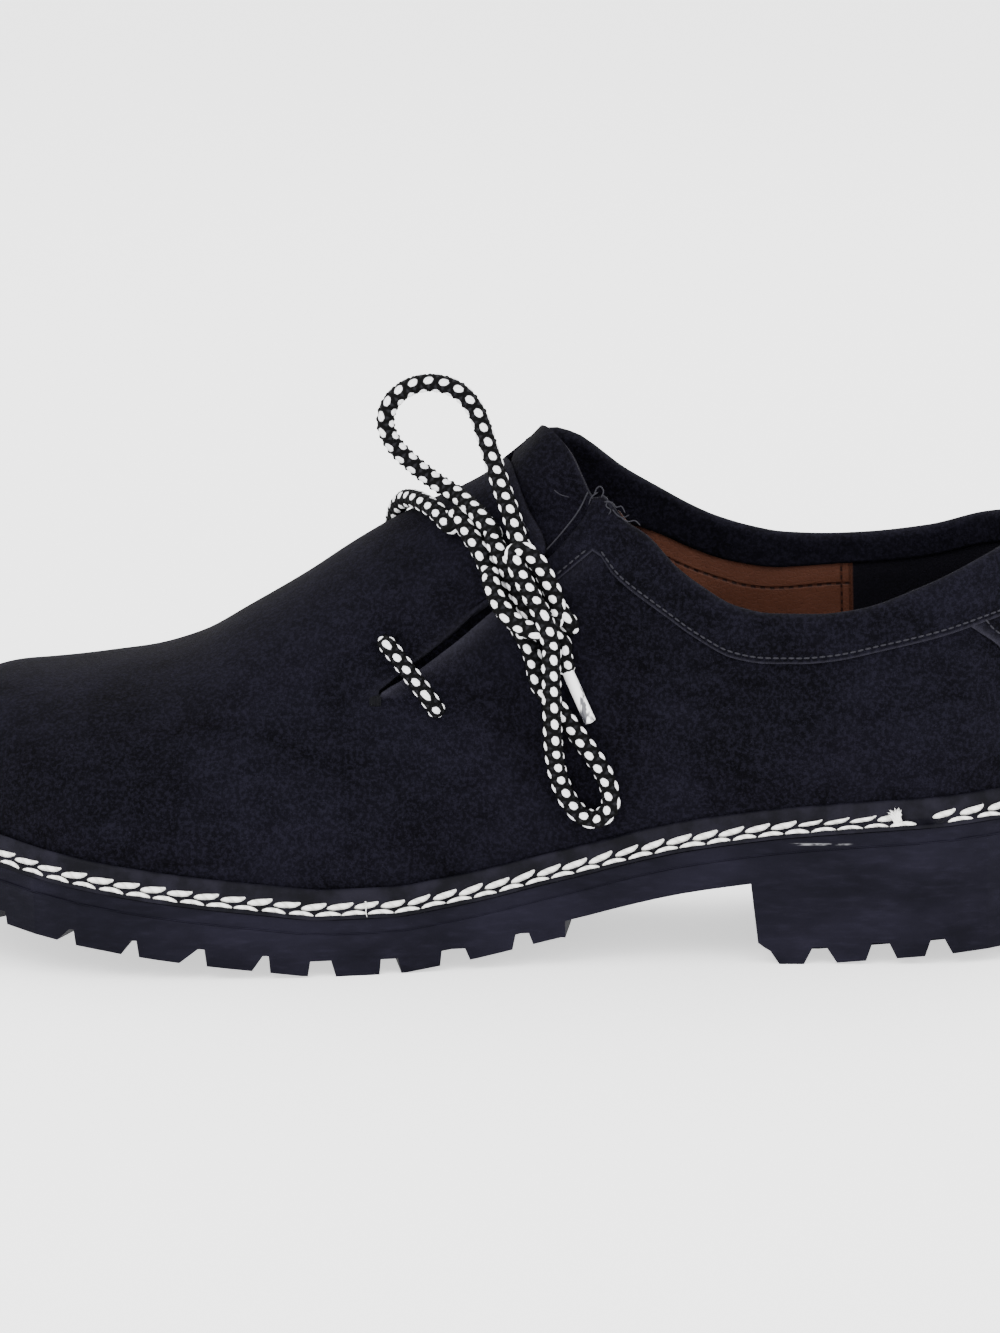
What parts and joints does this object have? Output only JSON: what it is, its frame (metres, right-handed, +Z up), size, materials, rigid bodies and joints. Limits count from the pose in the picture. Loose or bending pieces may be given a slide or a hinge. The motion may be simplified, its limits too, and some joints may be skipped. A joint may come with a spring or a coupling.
{
  "type": "side-laced country shoe",
  "caption": "Black suede side-laced country shoe with a lugged rubber sole, white welt stitching and a dotted cord lace, left foot.",
  "frame": {"origin": "on the floor, under the middle of the shoe's box without the free lace", "axes": "+X towards the heel and -X towards the toe, -Y towards the outer side with the lacing, +Z up"},
  "size_m": [0.302, 0.1084, 0.1438],
  "materials": {
    "rubber": "satin moulded rubber",
    "welt_leather": "semi-gloss edge-dyed leather",
    "suede": "napped matte suede",
    "lining_leather": "smooth satin lining leather",
    "lace_braid": "matte braid",
    "lace_tip": "clear gloss plastic"
  },
  "bodies": {
    "root": {"outsole": "rubber", "midsole": "rubber", "welt": "welt_leather", "upper": "suede", "tongue": "suede", "insole": "lining_leather", "lace_bar": "lace_braid", "lace_knot": "lace_braid", "lace_loop_upper": "lace_braid", "lace_loop_lower": "lace_braid", "lace_end_upper": "lace_braid", "lace_end_lower": "lace_braid", "tip_upper": "lace_tip", "tip_lower": "lace_tip"}
  },
  "joints": []
}
